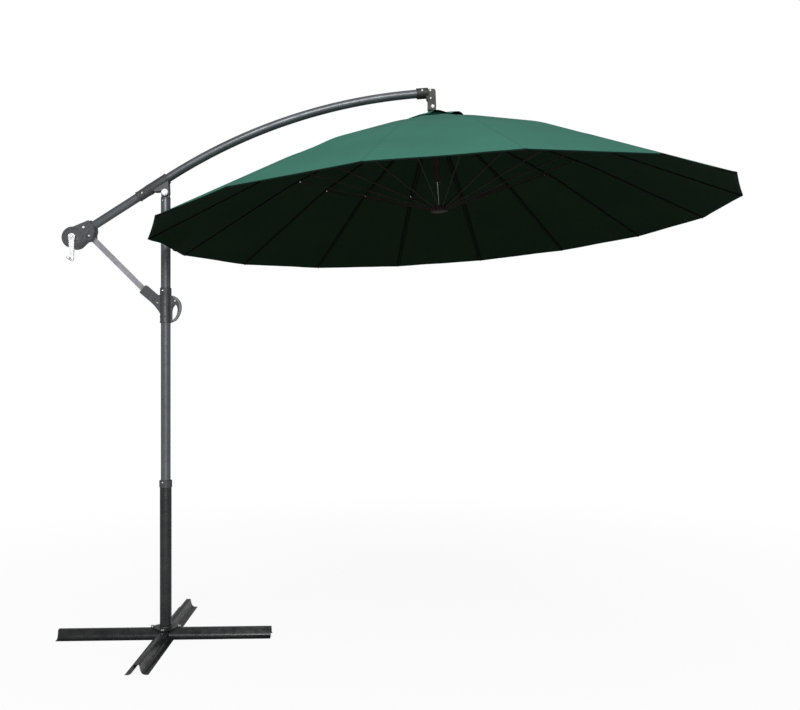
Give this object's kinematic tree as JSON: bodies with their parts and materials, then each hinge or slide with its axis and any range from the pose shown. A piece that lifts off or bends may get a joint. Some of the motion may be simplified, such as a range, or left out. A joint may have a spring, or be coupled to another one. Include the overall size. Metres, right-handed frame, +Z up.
{
  "type": "cantilever parasol",
  "caption": "Cantilever parasol: cross base, two-piece mast with slider and strut, curved arm with crank, hanging round ribbed canopy with ruffled top cap.",
  "frame": {"origin": "middle of the whole object's box in plan, on the floor; the mast's axis stands at X = -1.0836 m", "axes": "+X from the mast towards the canopy along the arm, +Z up, +Y to the back"},
  "size_m": [3.1673, 2.7182, 2.6304],
  "materials": {
    "base_paint": "satin",
    "mast_paint": "satin",
    "arm_paint": "satin",
    "strut_metal": "satin",
    "dark_casting": "satin",
    "crank_grey": "satin",
    "reel_plastic": "satin",
    "zinc_steel": "satin",
    "rib_fibre": "satin",
    "stay_metal": "satin",
    "hub_plastic": "satin",
    "green_cloth": "matte",
    "cord_fibre": "matte"
  },
  "bodies": {
    "stand": {"cross_member_x": "base_paint", "cross_member_y": "base_paint", "mast_foot": "base_paint", "foot_bolt_1": "zinc_steel", "foot_bolt_2": "zinc_steel", "foot_bolt_3": "zinc_steel", "foot_bolt_4": "zinc_steel", "mast_collar": "dark_casting", "upper_mast": "mast_paint", "mast_head": "dark_casting", "pivot_bolt": "zinc_steel", "stop_collar": "dark_casting"},
    "slider": {"slider_body": "dark_casting"},
    "squeeze_lever": {"squeeze_lever": "dark_casting"},
    "strut": {"support_strut": "strut_metal"},
    "arm": {"arm_clamp": "dark_casting", "arm_tube": "arm_paint", "crank_housing": "dark_casting", "strut_upper_pin": "zinc_steel", "arm_end_bracket": "dark_casting", "hanger_bolt": "zinc_steel", "pull_cord": "cord_fibre"},
    "crank": {"cord_reel": "reel_plastic", "crank_handle": "crank_grey"},
    "crank_knob": {"crank_knob": "crank_grey"},
    "crown": {"crown_hub": "hub_plastic", "canopy": "green_cloth"},
    "runner": {"runner_hub": "hub_plastic"},
    "rib_01": {"rib_01": "rib_fibre"},
    "stay_01": {"stay_01": "stay_metal"},
    "rib_02": {"rib_02": "rib_fibre"},
    "stay_02": {"stay_02": "stay_metal"},
    "rib_03": {"rib_03": "rib_fibre"},
    "stay_03": {"stay_03": "stay_metal"},
    "rib_04": {"rib_04": "rib_fibre"},
    "stay_04": {"stay_04": "stay_metal"},
    "rib_05": {"rib_05": "rib_fibre"},
    "stay_05": {"stay_05": "stay_metal"},
    "rib_06": {"rib_06": "rib_fibre"},
    "stay_06": {"stay_06": "stay_metal"},
    "rib_07": {"rib_07": "rib_fibre"},
    "stay_07": {"stay_07": "stay_metal"},
    "rib_08": {"rib_08": "rib_fibre"},
    "stay_08": {"stay_08": "stay_metal"},
    "rib_09": {"rib_09": "rib_fibre"},
    "stay_09": {"stay_09": "stay_metal"},
    "rib_10": {"rib_10": "rib_fibre"},
    "stay_10": {"stay_10": "stay_metal"},
    "rib_11": {"rib_11": "rib_fibre"},
    "stay_11": {"stay_11": "stay_metal"},
    "rib_12": {"rib_12": "rib_fibre"},
    "stay_12": {"stay_12": "stay_metal"},
    "rib_13": {"rib_13": "rib_fibre"},
    "stay_13": {"stay_13": "stay_metal"},
    "rib_14": {"rib_14": "rib_fibre"},
    "stay_14": {"stay_14": "stay_metal"},
    "rib_15": {"rib_15": "rib_fibre"},
    "stay_15": {"stay_15": "stay_metal"},
    "rib_16": {"rib_16": "rib_fibre"},
    "stay_16": {"stay_16": "stay_metal"}
  },
  "joints": [
    {"name": "slider_slide", "type": "slide", "parent": "stand", "child": "slider", "axis": [0, 0, 1], "range_m": [-0.15, 0]},
    {"name": "arm_pivot", "type": "hinge", "parent": "stand", "child": "arm", "pos_m": [-1.0836, 0, 2.1125], "axis": [0, -1, 0], "range_deg": [0, 16.59]},
    {"name": "strut_hinge", "type": "hinge", "parent": "slider", "child": "strut", "pos_m": [-1.1386, 0, 1.605], "axis": [0, -1, 0], "range_deg": [-13.14, 0]},
    {"name": "release_lever", "type": "hinge", "parent": "slider", "child": "squeeze_lever", "pos_m": [-1.0386, 0, 1.599], "axis": [0, -1, 0], "range_deg": [0, 14], "stiffness_Nm_per_rad": 0.6, "springref_deg": -11.46},
    {"name": "canopy_swing", "type": "hinge", "parent": "arm", "child": "crown", "pos_m": [0.1895, 0, 2.5374], "axis": [0, 1, 0], "range_deg": [-15, 0]},
    {"name": "runner_slide", "type": "slide", "parent": "crown", "child": "runner", "axis": [-0.0654, 0, 0.9979], "range_m": [-0.942, 0], "deforming": ["canopy", "pull_cord"]},
    {"name": "crank_spin", "type": "hinge", "parent": "arm", "child": "crank", "pos_m": [-1.5106, 0, 1.894], "axis": [0, 1, 0], "range_deg": [0, 3241]},
    {"name": "knob_spin", "type": "hinge", "parent": "crank", "child": "crank_knob", "pos_m": [-1.5166, -0.06, 1.794], "axis": [0, 1, 0], "continuous": true},
    {"name": "rib_hinge_01", "type": "hinge", "parent": "crown", "child": "rib_01", "pos_m": [0.23821, 0.00507, 2.47841], "axis": [-0.1124, 0.9936, -0.0074], "range_deg": [0, 66.6]},
    {"name": "stay_hinge_01", "type": "hinge", "parent": "runner", "child": "stay_01", "pos_m": [0.25621, 0.01016, 2.04867], "axis": [-0.1124, 0.9936, -0.0074], "range_deg": [-66.25, 0]},
    {"name": "rib_hinge_02", "type": "hinge", "parent": "crown", "child": "rib_02", "pos_m": [0.23288, 0.0218, 2.47806], "axis": [-0.4833, 0.8749, -0.0317], "range_deg": [0, 66.6]},
    {"name": "stay_hinge_02", "type": "hinge", "parent": "runner", "child": "stay_02", "pos_m": [0.24971, 0.02262, 2.04824], "axis": [-0.4833, 0.8749, -0.0317], "range_deg": [-66.25, 0]},
    {"name": "rib_hinge_03", "type": "hinge", "parent": "crown", "child": "rib_03", "pos_m": [0.22156, 0.0352, 2.47732], "axis": [-0.7806, 0.6229, -0.0512], "range_deg": [0, 66.6]},
    {"name": "stay_hinge_03", "type": "hinge", "parent": "runner", "child": "stay_03", "pos_m": [0.23894, 0.03163, 2.04754], "axis": [-0.7806, 0.6229, -0.0512], "range_deg": [-66.25, 0]},
    {"name": "rib_hinge_04", "type": "hinge", "parent": "crown", "child": "rib_04", "pos_m": [0.20599, 0.04325, 2.4763], "axis": [-0.9591, 0.2761, -0.0629], "range_deg": [0, 66.6]},
    {"name": "stay_hinge_04", "type": "hinge", "parent": "runner", "child": "stay_04", "pos_m": [0.22555, 0.03583, 2.04666], "axis": [-0.9591, 0.2761, -0.0629], "range_deg": [-66.25, 0]},
    {"name": "rib_hinge_05", "type": "hinge", "parent": "crown", "child": "rib_05", "pos_m": [0.18853, 0.04471, 2.47515], "axis": [-0.9915, -0.1127, -0.065], "range_deg": [0, 66.6]},
    {"name": "stay_hinge_05", "type": "hinge", "parent": "runner", "child": "stay_05", "pos_m": [0.21157, 0.03458, 2.04574], "axis": [-0.9915, -0.1127, -0.065], "range_deg": [-66.25, 0]},
    {"name": "rib_hinge_06", "type": "hinge", "parent": "crown", "child": "rib_06", "pos_m": [0.17184, 0.03937, 2.47406], "axis": [-0.873, -0.4844, -0.0572], "range_deg": [0, 66.6]},
    {"name": "stay_hinge_06", "type": "hinge", "parent": "runner", "child": "stay_06", "pos_m": [0.19914, 0.02806, 2.04493], "axis": [-0.873, -0.4844, -0.0572], "range_deg": [-66.25, 0]},
    {"name": "rib_hinge_07", "type": "hinge", "parent": "crown", "child": "rib_07", "pos_m": [0.15846, 0.02803, 2.47318], "axis": [-0.6216, -0.7823, -0.0407], "range_deg": [0, 66.6]},
    {"name": "stay_hinge_07", "type": "hinge", "parent": "runner", "child": "stay_07", "pos_m": [0.19015, 0.01726, 2.04434], "axis": [-0.6216, -0.7823, -0.0407], "range_deg": [-66.25, 0]},
    {"name": "rib_hinge_08", "type": "hinge", "parent": "crown", "child": "rib_08", "pos_m": [0.15043, 0.01243, 2.47266], "axis": [-0.2755, -0.9611, -0.0181], "range_deg": [0, 66.6]},
    {"name": "stay_hinge_08", "type": "hinge", "parent": "runner", "child": "stay_08", "pos_m": [0.18596, 0.00384, 2.04406], "axis": [-0.2755, -0.9611, -0.0181], "range_deg": [-66.25, 0]},
    {"name": "rib_hinge_09", "type": "hinge", "parent": "crown", "child": "rib_09", "pos_m": [0.14897, -0.00507, 2.47256], "axis": [0.1124, -0.9936, 0.0074], "range_deg": [0, 66.6]},
    {"name": "stay_hinge_09", "type": "hinge", "parent": "runner", "child": "stay_09", "pos_m": [0.18721, -0.01016, 2.04415], "axis": [0.1124, -0.9936, 0.0074], "range_deg": [-66.25, 0]},
    {"name": "rib_hinge_10", "type": "hinge", "parent": "crown", "child": "rib_10", "pos_m": [0.15431, -0.0218, 2.47291], "axis": [0.4833, -0.8749, 0.0317], "range_deg": [0, 66.6]},
    {"name": "stay_hinge_10", "type": "hinge", "parent": "runner", "child": "stay_10", "pos_m": [0.19372, -0.02262, 2.04457], "axis": [0.4833, -0.8749, 0.0317], "range_deg": [-66.25, 0]},
    {"name": "rib_hinge_11", "type": "hinge", "parent": "crown", "child": "rib_11", "pos_m": [0.16562, -0.0352, 2.47365], "axis": [0.7806, -0.6229, 0.0512], "range_deg": [0, 66.6]},
    {"name": "stay_hinge_11", "type": "hinge", "parent": "runner", "child": "stay_11", "pos_m": [0.20449, -0.03163, 2.04528], "axis": [0.7806, -0.6229, 0.0512], "range_deg": [-66.25, 0]},
    {"name": "rib_hinge_12", "type": "hinge", "parent": "crown", "child": "rib_12", "pos_m": [0.18119, -0.04325, 2.47467], "axis": [0.9591, -0.2761, 0.0629], "range_deg": [0, 66.6]},
    {"name": "stay_hinge_12", "type": "hinge", "parent": "runner", "child": "stay_12", "pos_m": [0.21788, -0.03583, 2.04616], "axis": [0.9591, -0.2761, 0.0629], "range_deg": [-66.25, 0]},
    {"name": "rib_hinge_13", "type": "hinge", "parent": "crown", "child": "rib_13", "pos_m": [0.19865, -0.04471, 2.47582], "axis": [0.9915, 0.1127, 0.065], "range_deg": [0, 66.6]},
    {"name": "stay_hinge_13", "type": "hinge", "parent": "runner", "child": "stay_13", "pos_m": [0.23185, -0.03458, 2.04707], "axis": [0.9915, 0.1127, 0.065], "range_deg": [-66.25, 0]},
    {"name": "rib_hinge_14", "type": "hinge", "parent": "crown", "child": "rib_14", "pos_m": [0.21534, -0.03937, 2.47691], "axis": [0.873, 0.4844, 0.0572], "range_deg": [0, 66.6]},
    {"name": "stay_hinge_14", "type": "hinge", "parent": "runner", "child": "stay_14", "pos_m": [0.24428, -0.02806, 2.04789], "axis": [0.873, 0.4844, 0.0572], "range_deg": [-66.25, 0]},
    {"name": "rib_hinge_15", "type": "hinge", "parent": "crown", "child": "rib_15", "pos_m": [0.22872, -0.02803, 2.47779], "axis": [0.6216, 0.7823, 0.0407], "range_deg": [0, 66.6]},
    {"name": "stay_hinge_15", "type": "hinge", "parent": "runner", "child": "stay_15", "pos_m": [0.25328, -0.01726, 2.04848], "axis": [0.6216, 0.7823, 0.0407], "range_deg": [-66.25, 0]},
    {"name": "rib_hinge_16", "type": "hinge", "parent": "crown", "child": "rib_16", "pos_m": [0.23675, -0.01243, 2.47832], "axis": [0.2755, 0.9611, 0.0181], "range_deg": [0, 66.6]},
    {"name": "stay_hinge_16", "type": "hinge", "parent": "runner", "child": "stay_16", "pos_m": [0.25747, -0.00384, 2.04875], "axis": [0.2755, 0.9611, 0.0181], "range_deg": [-66.25, 0]}
  ],
  "couplings": [
    {"joint": "arm_pivot", "follows": "slider_slide", "rad_per_m": -1.9245},
    {"joint": "strut_hinge", "follows": "slider_slide", "rad_per_m": 1.5229},
    {"joint": "crank_spin", "follows": "runner_slide", "rad_per_m": -60.03},
    {"joint": "rib_hinge_01", "follows": "runner_slide", "rad_per_m": -1.233},
    {"joint": "stay_hinge_01", "follows": "runner_slide", "rad_per_m": 1.2266},
    {"joint": "rib_hinge_02", "follows": "runner_slide", "rad_per_m": -1.233},
    {"joint": "stay_hinge_02", "follows": "runner_slide", "rad_per_m": 1.2266},
    {"joint": "rib_hinge_03", "follows": "runner_slide", "rad_per_m": -1.233},
    {"joint": "stay_hinge_03", "follows": "runner_slide", "rad_per_m": 1.2266},
    {"joint": "rib_hinge_04", "follows": "runner_slide", "rad_per_m": -1.233},
    {"joint": "stay_hinge_04", "follows": "runner_slide", "rad_per_m": 1.2266},
    {"joint": "rib_hinge_05", "follows": "runner_slide", "rad_per_m": -1.233},
    {"joint": "stay_hinge_05", "follows": "runner_slide", "rad_per_m": 1.2266},
    {"joint": "rib_hinge_06", "follows": "runner_slide", "rad_per_m": -1.233},
    {"joint": "stay_hinge_06", "follows": "runner_slide", "rad_per_m": 1.2266},
    {"joint": "rib_hinge_07", "follows": "runner_slide", "rad_per_m": -1.233},
    {"joint": "stay_hinge_07", "follows": "runner_slide", "rad_per_m": 1.2266},
    {"joint": "rib_hinge_08", "follows": "runner_slide", "rad_per_m": -1.233},
    {"joint": "stay_hinge_08", "follows": "runner_slide", "rad_per_m": 1.2266},
    {"joint": "rib_hinge_09", "follows": "runner_slide", "rad_per_m": -1.233},
    {"joint": "stay_hinge_09", "follows": "runner_slide", "rad_per_m": 1.2266},
    {"joint": "rib_hinge_10", "follows": "runner_slide", "rad_per_m": -1.233},
    {"joint": "stay_hinge_10", "follows": "runner_slide", "rad_per_m": 1.2266},
    {"joint": "rib_hinge_11", "follows": "runner_slide", "rad_per_m": -1.233},
    {"joint": "stay_hinge_11", "follows": "runner_slide", "rad_per_m": 1.2266},
    {"joint": "rib_hinge_12", "follows": "runner_slide", "rad_per_m": -1.233},
    {"joint": "stay_hinge_12", "follows": "runner_slide", "rad_per_m": 1.2266},
    {"joint": "rib_hinge_13", "follows": "runner_slide", "rad_per_m": -1.233},
    {"joint": "stay_hinge_13", "follows": "runner_slide", "rad_per_m": 1.2266},
    {"joint": "rib_hinge_14", "follows": "runner_slide", "rad_per_m": -1.233},
    {"joint": "stay_hinge_14", "follows": "runner_slide", "rad_per_m": 1.2266},
    {"joint": "rib_hinge_15", "follows": "runner_slide", "rad_per_m": -1.233},
    {"joint": "stay_hinge_15", "follows": "runner_slide", "rad_per_m": 1.2266},
    {"joint": "rib_hinge_16", "follows": "runner_slide", "rad_per_m": -1.233},
    {"joint": "stay_hinge_16", "follows": "runner_slide", "rad_per_m": 1.2266}
  ]
}
